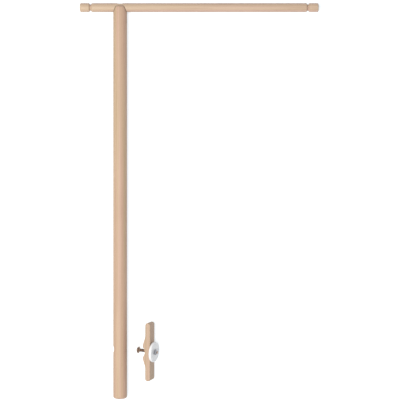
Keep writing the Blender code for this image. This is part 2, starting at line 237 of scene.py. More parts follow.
# %% [markdown]
# Every round cutter is the same turned cylinder, only put somewhere else. A
# matrix moves its points, not its object, so the mesh is where it seems to be
# and no transform has to be applied afterwards.

# %% Make a drill and put it in place
HOLE_SIDES = 64
FINE_SIDES = 96
GRIP_SIDES = 160
SCREW_SIDES = 48


def placed(mesh, matrix):
    """The same mesh, moved and turned in place."""
    bmesh.ops.transform(mesh, matrix=matrix, verts=mesh.verts)
    return mesh


def drill(start, end, radius, matrix=Matrix.Identity(4), sides=HOLE_SIDES):
    """A plain round cutter along X, put where matrix says."""
    outline = [(start, 0.0), (start, radius), (end, radius), (end, 0.0)]
    return placed(lathe(outline, sides), matrix)


ACROSS = Matrix.Rotation(math.radians(90.0), 4, "Z")  # turns X to a rod's own Y
print(f"drills have {HOLE_SIDES}, {FINE_SIDES} or {GRIP_SIDES} sides")

# %% [markdown]
# A finished piece keeps its object at the origin and its place in its mesh. It
# takes over from the plain solid of the same node, rides on that node's body,
# and wears the finish it is given. Smooth shading alone would smear the
# light over a sharp rim, so edges above a set angle are marked sharp.

# %% Put a finished piece in place of its solid
CREASE = math.radians(30.0)


def finish_piece(mesh, name, node, body, material):
    """Makes the mesh a piece that rides and replaces, and prints how it fits."""
    bmesh.ops.recalc_face_normals(mesh, faces=mesh.faces)
    piece = as_object(mesh, name)
    piece.data.shade_smooth()
    piece.data.set_sharp_from_angle(angle=CREASE)
    piece.data.materials.append(material)
    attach(piece, body)
    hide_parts(node)
    low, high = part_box(node)
    points = [v.co for v in piece.data.vertices]
    growth = max(
        max(low[i] - min(p[i] for p in points), max(p[i] for p in points) - high[i])
        for i in range(3)
    )
    faces = len(piece.data.polygons)
    print(f"{name}: {faces} faces, {growth / MM:+.3f} mm past its solid")


# %% [markdown]
# A finish is a small graph of shader nodes. It could be built by hand in the
# Shader Editor, but a script has to say every node and link, which soon gets
# long. These helpers add a node, fill its inputs with a number or a link, and
# give back its output, so each finish below reads as a short recipe.

# %% Small helpers for shader nodes
def fill(tree, target, value):
    """Links an output to an input, or sets the input's value."""
    if isinstance(value, bpy.types.NodeSocket):
        tree.links.new(value, target)
    else:
        target.default_value = value


def add_node(tree, kind, settings=None, **inputs):
    """Adds a node and sets its options; i0, i1 name inputs by their number."""
    node = tree.nodes.new(kind)
    for option, value in (settings or {}).items():
        setattr(node, option, value)
    for socket, value in inputs.items():
        numbered = socket[0] == "i" and socket[1:].isdigit()
        fill(tree, node.inputs[int(socket[1:]) if numbered else socket], value)
    return node


def calculate(tree, operation, first, second=0.0):
    """One step of arithmetic."""
    node = add_node(
        tree, "ShaderNodeMath", {"operation": operation}, i0=first, i1=second
    )
    return node.outputs["Value"]


def on_vectors(tree, operation, first, second):
    """One step of arithmetic on coordinates; some operations give a number."""
    settings = {"operation": operation}
    return add_node(tree, "ShaderNodeVectorMath", settings, i0=first, i1=second).outputs


def new_material(name):
    """A new material, its node tree and its Principled shader."""
    material = bpy.data.materials.new(name)
    material.use_nodes = True
    print(f"finish: {name}")
    return material, material.node_tree, material.node_tree.nodes["Principled BSDF"]


# %% [markdown]
# Two more helpers deal in colour. A Color Ramp turns a number into a colour,
# and a Mix node lays one colour over another. The Mix node keeps a set of
# sockets for each kind of data, all with the same names, so they are found by
# their identifiers.

# %% Helpers for colour
BLACK = (0.0, 0.0, 0.0)
WHITE = (1.0, 1.0, 1.0)


def grey(level):
    return (level, level, level)


def ramp(tree, factor, stops):
    """A colour ramp from (position, colour) stops."""
    node = add_node(tree, "ShaderNodeValToRGB", Fac=factor)
    elements = node.color_ramp.elements
    while len(elements) < len(stops):
        elements.new(0.5)
    for element, (position, colour) in zip(elements, stops):
        element.position = position
        element.color = (*colour, 1.0)
    return node.outputs["Color"]


def mixed(tree, factor, first, second, blend="MIX"):
    """Lays the second colour over the first, as far as factor says."""
    node = add_node(
        tree, "ShaderNodeMix", {"data_type": "RGBA", "blend_type": blend}
    )
    sockets = {socket.identifier: socket for socket in node.inputs}
    fill(tree, sockets["Factor_Float"], factor)
    for name, colour in (("A_Color", first), ("B_Color", second)):
        linked = isinstance(colour, bpy.types.NodeSocket)
        fill(tree, sockets[name], colour if linked else (*colour, 1.0))
    return next(s for s in node.outputs if s.identifier == "Result_Color")


print("a mid grey is", grey(0.5))

# %% [markdown]
# The wood is beech, which is pale and even. A flat image of wood could be
# wrapped round each rod, but it would smear on the ends. A solid texture fits
# turned wood better: it is worked out in space, so what streaks the side also
# comes out right on the ends. A Mapping node lays the grain along each piece,
# and noise is drawn out along it by squeezing its coordinates.

# %% Lay the grain along a piece
def lay_grain(tree, source, place):
    """Object coordinates, turned so that X runs along the frame called place."""
    return add_node(
        tree,
        "ShaderNodeMapping",
        {"vector_type": "TEXTURE"},
        Vector=source.outputs["Object"],
        Location=place.to_translation(),
        Rotation=place.to_euler(),
    ).outputs["Vector"]


def drawn_out(tree, laid, lumps, detail, roughness=0.5):
    """Noise with so many lumps a metre, first along the grain, then across it."""
    along, across = lumps
    squeezed = on_vectors(tree, "MULTIPLY", laid, (along, across, across))["Vector"]
    return add_node(
        tree,
        "ShaderNodeTexNoise",
        Vector=squeezed,
        Scale=1.0,
        Detail=detail,
        Roughness=roughness,
    ).outputs


print("grain runs along each piece's own X axis")

# %% [markdown]
# Each year adds a ring round the pith, and a rod is sawn from somewhere beside
# it. A Wave texture in its ring form draws such rings round an axis. Perfect
# circles would look printed, so slow noise bends them, and the axis leans a
# little, which makes the long pointed loops on a flat side. The saw-shaped wave
# darkens slowly and ends at once, as the late wood of each year does.

# %% Draw the year rings
WAVE_STEP = 20.0  # Blender's wave advances this many radians per unit of Scale
DRIFT = (2.2, 26.0)  # lumps a metre, along the grain and across it
RING_BEND = 5.0 * MM
PITH_LEAN = (0.0, math.radians(0.35), math.radians(0.5))
LATE_WOOD = [(0.0, BLACK), (0.55, grey(0.25)), (0.93, WHITE), (1.0, grey(0.1))]


def year_rings(tree, laid, pith, ring_width):
    """0 in pale early wood and 1 in the dark line that ends each year."""
    drift = drawn_out(tree, laid, DRIFT, 2.0)["Color"]
    bend = add_node(
        tree,
        "ShaderNodeVectorMath",
        {"operation": "SCALE"},
        i0=drift,
        Scale=RING_BEND,
    ).outputs["Vector"]
    from_pith = add_node(
        tree,
        "ShaderNodeMapping",
        Vector=on_vectors(tree, "ADD", laid, bend)["Vector"],
        Location=(0.0, *pith),
        Rotation=PITH_LEAN,
    )
    rings = add_node(
        tree,
        "ShaderNodeTexWave",
        {"wave_type": "RINGS", "rings_direction": "X", "wave_profile": "SAW"},
        Vector=from_pith.outputs["Vector"],
        Scale=math.tau / WAVE_STEP / ring_width,
        Distortion=0.0,
    )
    return ramp(tree, rings.outputs["Fac"], LATE_WOOD)


print(f"the rings wander by up to {RING_BEND / MM:.0f} mm")

# %% [markdown]
# On its side, beech runs between a pale and a warmer tone. One noise would look
# like marble, so the tone is a sum: rings, narrow streaks and broad clouds. Fine
# fibres then shade it, and wide bands swing the hue a little from yellow to
# rose, which is what keeps real beech from looking painted.

# %% Colour the side grain
PALE_BEECH = (0.490, 0.352, 0.232)
WARM_BEECH = (0.350, 0.230, 0.143)
FIBRE_SHADE = (0.90, 0.885, 0.87)
YELLOW_CAST = (0.975, 1.005, 0.955)
ROSY_CAST = (1.03, 0.975, 1.06)
STREAKS, CLOUDS, BANDS = (9.0, 520.0), (11.0, 60.0), (3.0, 210.0)
RING_SHARE, STREAK_SHARE, CLOUD_SHARE = 0.24, 0.62, 0.42
MIDDLE_TONE = 0.42


def side_grain(tree, laid, late, fibres, warmth, cast):
    """The wood's colour before rays, stains and ends."""
    streaks = drawn_out(tree, laid, STREAKS, 4.0, 0.6)["Fac"]
    clouds = drawn_out(tree, laid, CLOUDS, 2.0)["Fac"]
    bands = drawn_out(tree, laid, BANDS, 1.0)["Fac"]
    tone = calculate(tree, "MULTIPLY", late, RING_SHARE)
    for layer, share in ((streaks, STREAK_SHARE), (clouds, CLOUD_SHARE)):
        part = calculate(tree, "MULTIPLY", layer, share)
        tone = calculate(tree, "ADD", tone, part)
    tone = calculate(tree, "ADD", tone, 0.5 * warmth - MIDDLE_TONE)
    colour = ramp(tree, tone, [(0.05, PALE_BEECH), (0.95, WARM_BEECH)])
    shade = ramp(tree, fibres, [(0.30, FIBRE_SHADE), (0.62, WHITE)])
    colour = mixed(tree, 1.0, colour, shade, "MULTIPLY")
    hue = ramp(tree, bands, [(0.36, YELLOW_CAST), (0.64, ROSY_CAST)])
    colour = mixed(tree, 1.0, colour, hue, "MULTIPLY")
    return mixed(tree, 1.0, colour, cast, "MULTIPLY")


print("beech runs from", PALE_BEECH, "to", WARM_BEECH)

# %% [markdown]
# Beech is known by its rays, short brown dashes along the grain. Noise can't
# give separate dashes, but a Voronoi texture can: it scatters points, and close
# to each point, in squeezed coordinates, lies a dash. Each cell also has a
# random colour, which is used to drop about half of them.

# %% Scatter the rays
RAYS_ALONG = 330.0
RAYS_ACROSS = 1500.0
RAY_STRENGTH = 0.36


def ray_dashes(tree, laid):
    """How strongly a ray shows at each point."""
    cells = add_node(
        tree,
        "ShaderNodeTexVoronoi",
        {"feature": "F1"},
        Vector=on_vectors(
            tree, "MULTIPLY", laid, (RAYS_ALONG, RAYS_ACROSS, RAYS_ACROSS)
        )["Vector"],
        Scale=1.0,
        Randomness=1.0,
    ).outputs
    dash = ramp(tree, cells["Distance"], [(0.12, WHITE), (0.24, BLACK)])
    kept = ramp(tree, cells["Color"], [(0.45, BLACK), (0.60, WHITE)])
    shown = calculate(tree, "MULTIPLY", dash, kept)
    return calculate(tree, "MULTIPLY", shown, RAY_STRENGTH)


print(f"one ray every {1 / RAYS_ALONG / MM:.1f} mm along the grain, at the most")

# %% [markdown]
# Along the saddle's edge the post is darkened with painted shade, which stands
# in for the shadow in the crevice where the arm sits. A painted mask would need
# a UV map. The distance from the arm's axis is enough here, because the edge lies
# at one radius from it, and the shader can work that out from the same coordinates.

# %% Paint shade along the edge of a saddle
# Painted shade: the post darkens along the saddle's edge, as if the crevice under the
# arm were in shadow.
PAINTED_SHADE_REACH = 50.0  # one unit of the ramp is 20 mm
PAINTED_SHADE_FULL, PAINTED_SHADE_GONE = 0.385, 0.440
PAINTED_SHADE_STRENGTH = 0.85


def saddle_painted_shade(tree, laid, painted_shade_at):
    """Painted shade for the crevice's shadow: 1 beside an axis that crosses the piece
    so far along it.
    """
    from_joint = on_vectors(tree, "SUBTRACT", laid, (painted_shade_at, 0.0, 0.0))["Vector"]
    beside = on_vectors(
        tree, "MULTIPLY", from_joint, (PAINTED_SHADE_REACH, 0.0, PAINTED_SHADE_REACH)
    )["Vector"]
    distance = add_node(
        tree, "ShaderNodeVectorMath", {"operation": "LENGTH"}, i0=beside
    ).outputs["Value"]
    painted_shade = ramp(tree, distance, [(PAINTED_SHADE_FULL, WHITE), (PAINTED_SHADE_GONE, BLACK)])
    return calculate(tree, "MULTIPLY", painted_shade, PAINTED_SHADE_STRENGTH)


# how far out from the arm's axis the painted shade reaches
print(f"the stain ends {PAINTED_SHADE_GONE / PAINTED_SHADE_REACH / MM:.1f} mm from the arm's axis")

# %% [markdown]
# A sawn end drinks more light and looks darker, and its rings show as arcs. A
# second material on the end faces would work, but the ends run round into the
# sides here. So the shader asks how far the surface faces along the grain, and
# fades the end's colours in over the rounded rim.

# %% Colour the sawn ends
SAWN_END = (0.350, 0.232, 0.150)
SAWN_RING = (0.270, 0.170, 0.105)
END_STRENGTH = 0.55


def sawn_end(tree, source, place, late):
    """How far a point belongs to an end, and the colour it has there."""
    grain_way = place.to_3x3() @ Vector((1.0, 0.0, 0.0))
    facing = on_vectors(tree, "DOT_PRODUCT", source.outputs["Normal"], grain_way)
    turned_away = calculate(tree, "ABSOLUTE", facing["Value"])
    end = ramp(tree, turned_away, [(0.55, BLACK), (0.97, WHITE)])
    colour = mixed(tree, late, SAWN_END, SAWN_RING)
    return calculate(tree, "MULTIPLY", end, END_STRENGTH), colour


print("sawn ends run from", SAWN_END, "to", SAWN_RING)

# %% [markdown]
# Now the parts of the recipe come together. The wood is sanded and unvarnished,
# so it is fairly rough and a little less so between the fibres. The fibres and
# rays also go to a Bump node, since relief this fine would cost far too many
# faces. Each piece gets its own pith, ring width and cast, as if cut from its
# own plank.

# %% Mix the beech finish
RAY_BROWN = (0.235, 0.135, 0.080)
# the colour of the painted shade along the saddle's edge, where post and arm meet
PAINTED_SHADE_BROWN = (0.085, 0.055, 0.040)
FIBRES = (70.0, 3600.0)
SANDED = 0.50
FIBRE_ROUGHNESS = 0.16
RAY_DIP = 0.8
FIBRE_RELIEF = 0.06 * MM


def beech(name, place, pith, ring_width, warmth, cast, painted_shade_at=None):
    """Beech whose grain runs along the X axis of the frame called place."""
    material, tree, shader = new_material(name)
    source = add_node(tree, "ShaderNodeTexCoord")
    laid = lay_grain(tree, source, place)
    late = year_rings(tree, laid, pith, ring_width)
    fibres = drawn_out(tree, laid, FIBRES, 3.0, 0.65)["Fac"]
    rays = ray_dashes(tree, laid)

    colour = side_grain(tree, laid, late, fibres, warmth, cast)
    colour = mixed(tree, rays, colour, RAY_BROWN)
    # painted shade along the saddle's edge, standing in for the shadow between post and
    # arm
    if painted_shade_at is not None:
        colour = mixed(tree, saddle_painted_shade(tree, laid, painted_shade_at), colour, PAINTED_SHADE_BROWN)
    end, end_colour = sawn_end(tree, source, place, late)
    colour = mixed(tree, end, colour, end_colour)
    tree.links.new(colour, shader.inputs["Base Color"])

    rough = calculate(tree, "MULTIPLY", fibres, FIBRE_ROUGHNESS)
    rough = calculate(tree, "ADD", rough, SANDED)
    tree.links.new(rough, shader.inputs["Roughness"])
    dip = calculate(tree, "MULTIPLY", rays, RAY_DIP)
    relief = calculate(tree, "SUBTRACT", fibres, dip)
    bump = add_node(
        tree, "ShaderNodeBump", Strength=0.35, Distance=FIBRE_RELIEF, Height=relief
    )
    tree.links.new(bump.outputs["Normal"], shader.inputs["Normal"])
    shader.inputs["Specular IOR Level"].default_value = 0.5
    print(f"{name}: rings {ring_width / MM:.1f} mm apart")
    return material


# %% [markdown]
# The post is one turned rod, with a small round at its foot and a larger one at
# its top. It could be a cylinder with a Bevel modifier, but that would round
# both ends alike. Turned as a plain blank, each rim takes its own bevel. Rings
# scored round the blank keep the cuts that follow from pulling long thin
# triangles down the whole rod.

# %% Turn the post
FOOT_ROUND = 3.5 * MM
TOP_ROUND = 5.0 * MM
BOLT_HOLE_UP = 78.7 * MM
BY_THE_HOLE = 9.0 * MM
BY_THE_TOP = 20.0 * MM
POST = Matrix(
    (
        (0.0, -1.0, 0.0, POST_X),
        (1.0, 0.0, 0.0, POST_FOOT_Y),
        (0.0, 0.0, 1.0, AXIS_HEIGHT),
        (0.0, 0.0, 0.0, 1.0),
    )
)

post = lathe(
    [(0.0, 0.0), (0.0, POST_RADIUS), (POST_LENGTH, POST_RADIUS), (POST_LENGTH, 0.0)]
)
bevel(post, ring(post, 0.0, POST_RADIUS), FOOT_ROUND, segments=8)
bevel(post, ring(post, POST_LENGTH, POST_RADIUS), TOP_ROUND, segments=10)
score(
    post,
    (BOLT_HOLE_UP - BY_THE_HOLE, BOLT_HOLE_UP + BY_THE_HOLE, POST_LENGTH - BY_THE_TOP),
)
print(f"post blank: {len(post.faces)} faces")

# %% [markdown]
# The saddle is the round channel across the post's top that the arm sits in. It
# could be drawn into the post's outline only if it ran round it, so it is cut,
# the way a core drill and a saw would: a round cutter, and then a box that
# opens it to the top. A pilot hole goes down the end grain for the screw.

# %% Cut the saddle and the pilot hole
SEAT_GAP = 0.3 * MM
PILOT_RADIUS = 2.3 * MM
PILOT_DEPTH = 44.0 * MM
SLOT_LENGTH = 12.0 * MM
ARM_UP = ARM_Y - POST_FOOT_Y
saddle_radius = ARM_RADIUS + SEAT_GAP
REACH = 2 * POST_RADIUS

saddle_place = Matrix.Translation((ARM_UP, 0.0, 0.0)) @ ACROSS
post = carve(post, drill(-REACH, REACH, saddle_radius, saddle_place, FINE_SIDES))
slot = bmesh.new()
bmesh.ops.create_cube(slot, size=1.0)
bmesh.ops.scale(slot, vec=(SLOT_LENGTH, 2 * REACH, 2 * saddle_radius), verts=slot.verts)
bmesh.ops.translate(slot, vec=(ARM_UP + SLOT_LENGTH / 2, 0.0, 0.0), verts=slot.verts)
post = carve(post, slot)
post = carve(post, drill(ARM_UP - PILOT_DEPTH, POST_LENGTH, PILOT_RADIUS))
print(f"the saddle lies {ARM_UP / MM:.1f} mm up the post")

# %% [markdown]
# Near the foot a hole takes the clamp's bolt, and a wider recess on one side
# takes the bolt's head. Both are plain round cutters on one axis. The recess
# starts at its floor and runs out past the wood, because a cutter that ended
# flush with the surface would leave slivers.

# %% Drill the bolt's hole and finish the post
BOLT_HOLE_RADIUS = 2.8 * MM
HEAD_RECESS_RADIUS = 5.8 * MM
HEAD_RECESS_DEPTH = 3.9 * MM

hole_place = Matrix.Translation((BOLT_HOLE_UP, 0.0, 0.0)) @ ACROSS
recess_floor = POST_RADIUS - HEAD_RECESS_DEPTH
post = carve(post, drill(-REACH, REACH, BOLT_HOLE_RADIUS, hole_place))
post = carve(
    post, drill(recess_floor, REACH, HEAD_RECESS_RADIUS, hole_place, FINE_SIDES)
)
post_beech = beech(
    "beech_post_finish",
    POST,
    pith=(0.048, 0.026),
    ring_width=2.4 * MM,
    warmth=0.45,
    cast=(1.02, 1.02, 1.07),
    # the saddle's place, where the painted shade goes
    painted_shade_at=ARM_UP,
)
finish_piece(
    placed(post, POST), "post_rod", "post", "holder", post_beech
)

# %% [markdown]
# The arm is a thinner turned rod. Near each end a V groove runs round it, which
# keeps a mobile's string from sliding off. Drawing the grooves into the outline
# before the spin is simpler than cutting them afterwards, and a small bevel on
# each lip takes off the hard edge, as sanding does.

# %% Turn the arm with its string grooves
GROOVE_IN = 16.8 * MM
GROOVE_HALF = 2.5 * MM
GROOVE_DEPTH = 2.4 * MM
GROOVE_FLOOR = 0.3 * MM
ARM_END_ROUND = 2.0 * MM
SOFT_LIP = 0.35 * MM
BY_THE_SCREW = 12.0 * MM
ARM = Matrix.Translation((POST_X, ARM_Y, AXIS_HEIGHT))
ARM_SHORT = POST_X - arm_low.x
ARM_LONG = arm_high.x - POST_X
GROOVES = (-ARM_SHORT + GROOVE_IN, ARM_LONG - GROOVE_IN)

outline = [(-ARM_SHORT, 0.0), (-ARM_SHORT, ARM_RADIUS)]
for centre in GROOVES:
    outline += [
        (centre - GROOVE_HALF, ARM_RADIUS),
        (centre - GROOVE_FLOOR, ARM_RADIUS - GROOVE_DEPTH),
        (centre + GROOVE_FLOOR, ARM_RADIUS - GROOVE_DEPTH),
        (centre + GROOVE_HALF, ARM_RADIUS),
    ]
outline += [(ARM_LONG, ARM_RADIUS), (ARM_LONG, 0.0)]
arm = lathe(outline)
for end in (-ARM_SHORT, ARM_LONG):
    bevel(arm, ring(arm, end, ARM_RADIUS), ARM_END_ROUND, segments=8)
for centre in GROOVES:
    for side in (-1, 1):
        lip = ring(arm, centre + side * GROOVE_HALF, ARM_RADIUS)
        bevel(arm, lip, SOFT_LIP, segments=3)
score(arm, (-BY_THE_SCREW, BY_THE_SCREW))
print(f"arm blank: {len(arm.faces)} faces, "
      f"grooves at {[round(g / MM, 1) for g in GROOVES]} mm")

# %% [markdown]
# The screw's head sinks into a cone-shaped countersink over the post. A bevel
# on the rim of a straight hole would give nearly the same cone, but the rim
# runs over the arm's round side and a bevel would follow it up and down. One
# turned cutter, a cone with the screw's hole under it, cuts both cleanly.

# %% Countersink the arm and finish it
COUNTERSINK_RADIUS = 6.15 * MM
SCREW_HOLE_RADIUS = 2.3 * MM
OVERCUT = 2.0 * MM  # how far a cutter runs out past the piece
cone_end = ARM_RADIUS - COUNTERSINK_RADIUS + SCREW_HOLE_RADIUS

countersink = lathe(
    [
        (ARM_RADIUS + OVERCUT, 0.0),
        (ARM_RADIUS + OVERCUT, COUNTERSINK_RADIUS + OVERCUT),
        (cone_end, SCREW_HOLE_RADIUS),
        (-ARM_RADIUS - OVERCUT, SCREW_HOLE_RADIUS),
        (-ARM_RADIUS - OVERCUT, 0.0),
    ],
    FINE_SIDES,
)
arm = carve(arm, placed(countersink, ACROSS))
arm_beech = beech(
    "beech_arm_finish",
    ARM,
    pith=(0.020, -0.060),
    ring_width=2.0 * MM,
    warmth=0.50,
    cast=(1.16, 1.21, 1.38),
)
finish_piece(placed(arm, ARM), "arm_rod", "arm", "holder", arm_beech)

# %% [markdown]
# Screw and bolt have real threads. A bump texture would draw them cheaply, but
# it leaves a smooth outline. A thread is a helix: the outline of one ridge is
# spun round the axis while it moves along by one pitch a turn, so each turn
# meets the last one exactly. The ends of the helix are ragged, so it is made
# too long, and later kept only where it lies inside a turned blank.

# %% Make a threaded rod
THREAD_STEPS = 40
THREAD_WELD = 0.002 * MM
SPARE_TURNS = 3
TURNS_BEFORE = 2
RIDGE = ((0.0, 0.0), (0.40, 1.0), (0.52, 1.0), (0.92, 0.0), (1.0, 0.0))


def threaded(start, end, root, crest, pitch):
    """A threaded rod along X that runs at least from start to end."""
    mesh = bmesh.new()
    turns = math.ceil((end - start) / pitch) + SPARE_TURNS
    first = start - TURNS_BEFORE * pitch
    points = [
        mesh.verts.new((first + share * pitch, 0.0, crest if height else root))
        for share, height in RIDGE
    ]
    wires = [mesh.edges.new(pair) for pair in zip(points, points[1:])]
    bmesh.ops.spin(
        mesh,
        geom=points + wires,
        cent=(0.0, 0.0, 0.0),
        axis=(1.0, 0.0, 0.0),
        dvec=(pitch / THREAD_STEPS, 0.0, 0.0),
        angle=math.tau * turns,
        steps=THREAD_STEPS * turns,
        use_merge=False,
    )
    bmesh.ops.remove_doubles(mesh, verts=mesh.verts, dist=THREAD_WELD)
    rims = [edge for edge in mesh.edges if edge.is_boundary]
    caps = bmesh.ops.holes_fill(mesh, edges=rims, sides=0)["faces"]
    bmesh.ops.triangulate(mesh, faces=caps)
    bmesh.ops.recalc_face_normals(mesh, faces=mesh.faces)
    open_edges = sum(edge.is_boundary for edge in mesh.edges)
    print(f"thread: {turns} turns, {open_edges} open edges")
    return mesh


# %% [markdown]
# The arm's screw is a countersunk wood screw. Only its head shows, down in the
# countersink behind the arm, and a bare disc could stand in for it, but a part
# that comes apart needs the whole screw: a plain neck, a coarse thread and a
# point. The blank that trims the thread gives it its point as well.

# %% Make the arm screw
screw_low, screw_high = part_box("arm_screw")
SCREW_LENGTH = screw_high.y - screw_low.y
SCREW_HEAD_RADIUS = (screw_high.x - screw_low.x) / 2
SCREW_RADIUS = 2.0 * MM
SCREW_ROOT = 1.35 * MM
SCREW_PITCH = 1.8 * MM
SCREW_POINT = 5.0 * MM
SCREW_NECK = 12.0 * MM
SCREW_HEAD_RIM = 0.25 * MM
NECK_TAIL = 0.5 * MM
NECK_TAIL_RADIUS = 1.6 * MM
PROUD_CREST = 0.02 * MM  # so that the blank, not the helix, sets the crest

cone_depth = SCREW_HEAD_RADIUS - SCREW_RADIUS
screw_blank = lathe(
    [
        (SCREW_NECK, 0.0),
        (SCREW_NECK, SCREW_RADIUS),
        (SCREW_LENGTH - SCREW_POINT, SCREW_RADIUS),
        (SCREW_LENGTH, 0.0),
    ],
    SCREW_SIDES,
)
screw_helix = threaded(
    SCREW_NECK, SCREW_LENGTH, SCREW_ROOT, SCREW_RADIUS + PROUD_CREST, SCREW_PITCH
)
screw_thread = carve(screw_helix, screw_blank, "INTERSECT")
screw_head = lathe(
    [
        (0.0, 0.0),
        (0.0, SCREW_HEAD_RADIUS),
        (SCREW_HEAD_RIM, SCREW_HEAD_RADIUS),
        (cone_depth, SCREW_RADIUS),
        (SCREW_NECK + NECK_TAIL, NECK_TAIL_RADIUS),
        (SCREW_NECK + NECK_TAIL, 0.0),
    ],
    HOLE_SIDES,
)
screw = carve(screw_head, screw_thread, "UNION")

# %% [markdown]
# The screw's head has a cross recess for a driver. Two thin blades cut it, each
# a cube with its inner end drawn in, because the real recess gets narrower
# towards its bottom. Cutting twice with one blade, the second time turned by
# 90 degrees, keeps the cross even.

# %% Cut the screw's cross recess
CROSS_ARM = 2.3 * MM
CROSS_HALF = 0.55 * MM
CROSS_DEPTH = 1.6 * MM
CROSS_DRAWN_IN = (1.0, 0.45, 0.8)
for turn in (0.0, 90.0):
    blade = bmesh.new()
    bmesh.ops.create_cube(blade, size=1.0)
    bmesh.ops.scale(
        blade, vec=(2 * CROSS_DEPTH, 2 * CROSS_ARM, 2 * CROSS_HALF), verts=blade.verts
    )
    inner = [v for v in blade.verts if v.co.x > 0]
    bmesh.ops.scale(blade, vec=CROSS_DRAWN_IN, verts=inner)
    turned = placed(blade, Matrix.Rotation(math.radians(turn), 4, "X"))
    screw = carve(screw, turned)
print(f"the cross is {2 * CROSS_ARM / MM:.1f} mm wide")

# %% [markdown]
# The screw and nut are bright zinc plate and the bolt is dark bronzed steel.
# Both are metals, so the shader's Metallic is 1 and the colour tints the
# reflection. With one roughness all over they would look like new mirrors, so
# a cloudy noise moves colour and roughness together, like light wear from
# handling, and a finer one gives the plate its grain.

# %% Mix the plated finishes
WEAR_SCALE = 700.0
PLATE_GRAIN_SCALE = 5200.0
PLATE_RELIEF = 0.02 * MM
WEAR_ROUGHNESS = 0.30


def plated_steel(name, colour, dull, roughness):
    """Plated steel with faint cloudy wear in its colour and its shine."""
    material, tree, shader = new_material(name)
    at = add_node(tree, "ShaderNodeTexCoord").outputs["Object"]
    wear = add_node(
        tree, "ShaderNodeTexNoise", Vector=at, Scale=WEAR_SCALE, Detail=5.0
    ).outputs["Fac"]
    fine = add_node(
        tree, "ShaderNodeTexNoise", Vector=at, Scale=PLATE_GRAIN_SCALE, Detail=2.0
    ).outputs["Fac"]
    tint = ramp(tree, wear, [(0.35, colour), (0.68, dull)])
    tree.links.new(tint, shader.inputs["Base Color"])
    rough = calculate(tree, "MULTIPLY", wear, WEAR_ROUGHNESS)
    rough = calculate(tree, "ADD", rough, roughness - WEAR_ROUGHNESS / 2)
    tree.links.new(rough, shader.inputs["Roughness"])
    bump = add_node(
        tree, "ShaderNodeBump", Strength=0.25, Distance=PLATE_RELIEF, Height=fine
    )
    tree.links.new(bump.outputs["Normal"], shader.inputs["Normal"])
    shader.inputs["Metallic"].default_value = 1.0
    return material


zinc = plated_steel("zinc_finish", (0.58, 0.59, 0.62), (0.44, 0.45, 0.48), 0.34)
bronze = plated_steel(
    "bronzed_finish", (0.420, 0.300, 0.230), (0.270, 0.195, 0.152), 0.42
)

# %% [markdown]
# The screw was made along X with its head at the origin. It goes into the post
# head first from the top, so its frame has X pointing down the post.

# %% Put the screw in the arm
DOWN_POST = Matrix.Translation((POST_X, screw_high.y, AXIS_HEIGHT)) @ Matrix.Rotation(
    math.radians(-90.0), 4, "Z"
)
finish_piece(
    placed(screw, DOWN_POST),
    "screw_through_arm",
    "arm_screw",
    "holder",
    zinc,
)

# %% [markdown]
# The block is sawn from a flat beech strip: thick in the middle, with two thin
# arms that reach past a cot's bars. It leans a little on its bolt, because the
# hole is loose, and it is rolled until one end rests on the table. Its frame
# is set first, since every cut is measured from it.

# %% Set the block's sizes and its frame
BLOCK_LENGTH = 93.5 * MM
BLOCK_WIDTH = 18.0 * MM
BLOCK_MIDDLE = 12.6 * MM
BLOCK_ARM = 8.4 * MM
GROOVE_SINK = 3.6 * MM
PAD_WIDTH = 3.3 * MM
TAPER_LENGTH = 12.7 * MM
BLOCK_ROLL = math.radians(5.3523)
BLOCK_LEAN = math.radians(2.1)
HALF_LENGTH = BLOCK_LENGTH / 2
HOLE_MIDDLE = (BLOCK_MIDDLE - GROOVE_SINK) / 2
GRIP_RADIUS = POST_RADIUS + SEAT_GAP
half_chord = math.sqrt(GRIP_RADIUS**2 - (GRIP_RADIUS - GROOVE_SINK) ** 2)
PAD_END = half_chord + PAD_WIDTH
TAPER_END = PAD_END + TAPER_LENGTH
BLOCK = (
    CLAMP
    @ Matrix.Translation((-HOLE_MIDDLE, 0.0, 0.0))
    @ Matrix.Rotation(BLOCK_ROLL, 4, "X")
    @ Matrix.Rotation(BLOCK_LEAN, 4, "Z")
)
print(f"the groove is {2 * half_chord / MM:.1f} mm wide")

# %% [markdown]
# A cube with its middle pulled out could give the same body, but drawing the
# outline and extruding it across the width is how the strip is really sawn.
# Then the upright corners are bevelled, each with its own radius, and last the
# two rims that run all the way round, so the small round follows the big ones.

# %% Saw out the block
BLOCK_ROUNDS = (
    (HALF_LENGTH, 4.0 * MM, 9),
    (TAPER_END, 3.0 * MM, 6),
    (PAD_END, 0.8 * MM, 4),
)
RIM_ROUND = 1.2 * MM

upper = [
    (0.0, HALF_LENGTH),
    (-BLOCK_ARM, HALF_LENGTH),
    (-BLOCK_ARM, TAPER_END),
    (-BLOCK_MIDDLE, PAD_END),
]
corners = upper + [(x, -y) for x, y in reversed(upper)]
block = bmesh.new()
flat = block.faces.new(
    [block.verts.new((x + HOLE_MIDDLE, y, -BLOCK_WIDTH / 2)) for x, y in corners]
)
grown = bmesh.ops.extrude_face_region(block, geom=[flat])["geom"]
raised = [item for item in grown if isinstance(item, bmesh.types.BMVert)]
bmesh.ops.translate(block, vec=(0.0, 0.0, BLOCK_WIDTH), verts=raised)
bmesh.ops.recalc_face_normals(block, faces=block.faces)


def rise(edge):
    """How far an edge climbs across the block's width."""
    return abs(edge.verts[0].co.z - edge.verts[1].co.z)


def upright(mesh, out):
    """The edges across the block's width that lie so far out along it."""
    return [
        edge
        for edge in mesh.edges
        if rise(edge) > BLOCK_WIDTH / 2 and abs(abs(edge.verts[0].co.y) - out) < MM
    ]


for out, size, segments in BLOCK_ROUNDS:
    bevel(block, upright(block, out), size, segments)
block_rims = [edge for edge in block.edges if rise(edge) < RING_SLACK]
bevel(block, block_rims, RIM_ROUND, segments=5)
print(f"block blank: {len(block.faces)} faces")

